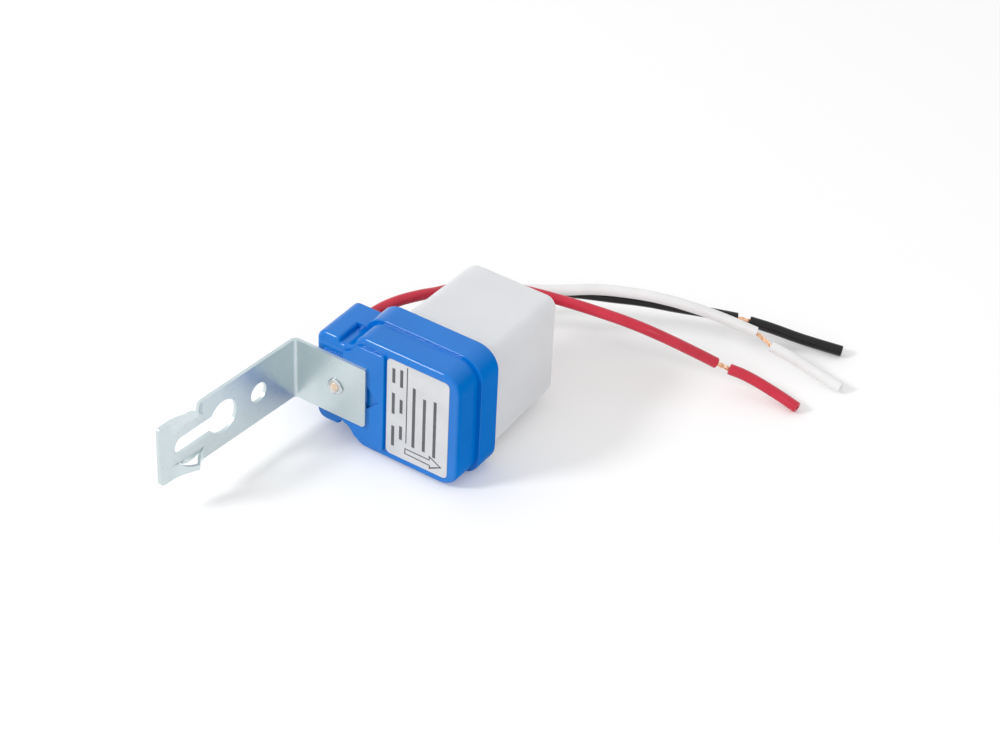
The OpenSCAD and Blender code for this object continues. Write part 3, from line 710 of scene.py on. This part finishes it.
def wave(turn, terms):
    return sum(size * math.cos(count * turn + phase) for count, phase, size in terms)


def addRivet():
    head, shank, core = (rivet[key] / 2 for key in ("headD", "shankD", "coreD"))
    front, back, rise, lip = rivet["front"], rivet["back"], rivet["headH"], rivet["lip"]
    frontRoll = arc(head - rise / 2, front + rise / 2, rise / 2, -90, 90, 6)
    backRoll = arc(head - rise / 2, back - rise / 2, rise / 2, -90, 90, 6)
    profile = [(core, front + lip), (core + lip, front + rivet["lipFront"])] + frontRoll
    profile += [(shank, front + rise), (shank, back - rise)] + backRoll + [(core, back)]
    piece = spun("rolled_rivet", profile)
    # the rolled head is uneven rather than round, as the tool leaves it
    for vertex in piece.data.vertices:
        point = inBase(vertex.co) - Vector((rivet["x"], 0, 0))
        if point.y < front + rise - near and math.hypot(point.x, point.z) > shank:
            turn = math.atan2(point.z, point.x)
            grow, dip = 1 + wave(turn, rivet["grow"]), max(wave(turn, rivet["dip"]), 0)
            vertex.co = inPart(rivet["x"] + point.x * grow, point.y + dip, point.z * grow)
    smooth(piece, 45)
    return piece


def addCore():
    front = rivet["front"] - rivet["capProud"]
    capBack = front + rivet["capH"]
    piece = plate("rivet_core_disc", ring(rivet["x"], rivet["coreD"], 32), capBack - rivet["capLap"],
                  rivet["back"] - rivet["coreShort"])
    cap = plate("cap", ring(*rivet["cap"], 32), front, capBack)
    bevelEdges(cap, frontOf(front), rivet["capEdge"], 4)
    combine(piece, cap, "UNION")
    smooth(piece, 45)
    return piece


rivetSteel = mottled("rivetSteel", ("#B8BCBE", "#E2E4E4"), 700, (0.2, 0.32), 0.1, sockets={"Metallic": 1.0})
rivetCopper = mottled("rivetCopper", ("#DCC0A6", "#EEDCC8"), 900, (0.3, 0.45), 0.2, sockets={"Metallic": 0.5})
finishPiece(addRivet(), rivetSteel, "rivet_steel", "rivet")
finishPiece(addCore(), rivetCopper, "rivet_copper", "rivet_core")
print("rivet rolled")

# label with its printed shapes, mm: divider and bars are (x, from z, to z), the arrow points to the far
# end, and its inset says how many line widths each corner of the hollow lies inside
label = {"x": 3.9, "length": 16.5, "width": 26.3, "corner": 1.2, "thick": 0.15, "edge": 0.04, "ink": 0.012,
         "divider": (1.1, 12.7, -8.3), "dividerW": 0.28, "barW": 0.8,
         "bars": [(3.0, 8, -8.6), (5.8, 6.2, -8.4), (8.6, 6.8, -8.8), (-0.4, 11.4, 6.6), (-0.4, 3.2, -0.6),
                  (-0.4, -4.2, -8), (-2.5, 11, 7), (-2.5, 4.2, -1.6), (-2.5, -5, -10.6)],
         "arrow": [(0.74, -9.75), (7.3, -9.75), (7.3, -8.65), (10.82, -10.6), (7.4, -12.45), (7.4, -11.55),
                   (0.74, -11.4)],
         "arrowInset": [(1, -1), (1, -1), (1, -2), (-2.2, 0), (1, 2), (1, 1), (1, 1)], "arrowLine": 0.3}


def addLabel():
    outline = roundRect(label["x"], label["length"], label["width"], label["corner"])
    piece = plate("label_sticker", outline, -label["thick"], 0)
    bevelEdges(piece, frontOf(-label["thick"]), label["edge"], 2)
    smooth(piece)
    return piece


def inkShape(outline):
    return plate("label_print", outline, -label["thick"] - label["ink"], -label["thick"])


def inkBar(x, top, bottom, width):
    left, right = x - width / 2, x + width / 2
    return inkShape([(left, top), (right, top), (right, bottom), (left, bottom)])


def addPrint():
    shapes = [inkBar(*label["divider"], label["dividerW"])]
    shapes += [inkBar(*place, label["barW"]) for place in label["bars"]]
    arrow = inkShape(label["arrow"])
    line = label["arrowLine"]
    hollow = [(x + dx * line, z + dz * line) for (x, z), (dx, dz) in zip(label["arrow"], label["arrowInset"])]
    combine(arrow, plate("hollow", hollow, -1, 1), "DIFFERENCE")
    return toMesh(*shapes, arrow)


labelFilm = mottled("labelFilm", ("#CCCDD0", "#D5D6D8"), 200, (0.38, 0.5), 0.05)
labelInk = mottled("labelInk", ("#505054", "#606064"), 800, (0.45, 0.6))
finishPiece(addLabel(), labelFilm, "label_film", "label")
finishPiece(addPrint(), labelInk, "label_film")
print("label printed")

# the inner nodes keep their CAD shapes
innerFinishes = {
    "rivet_washer": zincSteel,
    "circuit_board": mottled("boardLaminate", ("#1C5A34", "#2A6E42"), 350, (0.4, 0.55), 0.2),
    "relay": mottled("relayCase", ("#1D5FAE", "#2A6DBC"), 250, (0.35, 0.5), 0.1),
    "light_sensor": mottled("sensorResin", ("#B4603F", "#C87A55"), 900, (0.25, 0.4), 0.1),
    "film_capacitor": mottled("capacitorResin", ("#B7801F", "#C89230"), 300, (0.35, 0.5), 0.1),
    "electrolytic_capacitor": mottled("capacitorSleeve", ("#131B3C", "#1B2550"), 300, (0.3, 0.45), 0.1),
    "bleeder_resistor": mottled("resistorTan", ("#C6A46C", "#D4B580"), 500, (0.4, 0.55), 0.1),
    "bias_resistor": mottled("resistorBlue", ("#7FA6C0", "#93B8D0"), 500, (0.4, 0.55), 0.1),
    "zener_diode": mottled("diodeGlass", ("#B8481E", "#CC6030"), 700, (0.15, 0.25), 0.05),
}
darkResin = mottled("darkResin", ("#1E1E20", "#2A2A2C"), 500, (0.4, 0.6), 0.2)
for name in ("rectifier_diode", "flyback_diode", "transistor"):
    innerFinishes[name] = darkResin
for name, material in innerFinishes.items():
    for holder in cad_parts[name].material_slots:
        holder.material = material
print("inner parts finished")

# floor, lamps (name, place, size, power) and a white world that metal and plastic see too, m and W
studio = {"floor": 3.0, "floorTone": 0.9, "floorRough": 0.9, "floorGlow": 0.12, "worldLight": 0.76,
          "lamps": [("keyLamp", (-0.46, -0.62, 0.64), 0.22, 4.0), ("fillLamp", (0.75, -0.3, 0.5), 0.3, 0.6)],
          "aim": (0, 0, 0.016)}
white = (1, 1, 1, 1)


# 1 for the rays that may see the white background: from the camera, mirrored and passed through
def backgroundRays(tree):
    ray = addNode(tree, "LightPath")
    seen = ray.outputs["Is Camera Ray"]
    for other in ("Is Glossy Ray", "Is Transmission Ray"):
        seen = addMath(tree, "MAXIMUM", seen, ray.outputs[other]).outputs["Value"]
    return seen


def addFloor():
    pick(None)
    bpy.ops.mesh.primitive_plane_add(size=studio["floor"], location=(0, 0, 0))
    floor = bpy.context.object
    floor.name = "floor"
    material = bpy.data.materials.new("paleFloor")
    material.use_nodes = True
    tree = material.node_tree
    shader = tree.nodes["Principled BSDF"]
    setSockets(shader, {"Base Color": [studio["floorTone"]] * 3 + [1], "Roughness": studio["floorRough"],
                        "Specular IOR Level": 0, "Emission Color": white})
    glow = addMath(tree, "MULTIPLY", backgroundRays(tree))
    glow.inputs[1].default_value = studio["floorGlow"]
    tree.links.new(glow.outputs["Value"], shader.inputs["Emission Strength"])
    floor.data.materials.append(material)


def addLamps():
    for name, place, size, power in studio["lamps"]:
        bpy.ops.object.light_add(type="AREA", location=place)
        lamp = bpy.context.object
        lamp.name = name
        lamp.data.shape = "DISK"
        lamp.data.size = size
        lamp.data.energy = power
        lamp.rotation_euler = (Vector(studio["aim"]) - Vector(place)).to_track_quat("-Z", "Y").to_euler()


def addWorld():
    world = bpy.data.worlds.new("studioWhite")
    bpy.context.scene.world = world
    world.use_nodes = True
    tree = world.node_tree
    background = tree.nodes["Background"]
    background.inputs["Color"].default_value = white
    strength = addNode(tree, "MapRange", {"To Min": studio["worldLight"]})
    tree.links.new(backgroundRays(tree), strength.inputs["Value"])
    tree.links.new(strength.outputs["Result"], background.inputs["Strength"])


addFloor()
addLamps()
addWorld()
bpy.context.scene.view_settings.view_transform = "Standard"
print("studio lit")
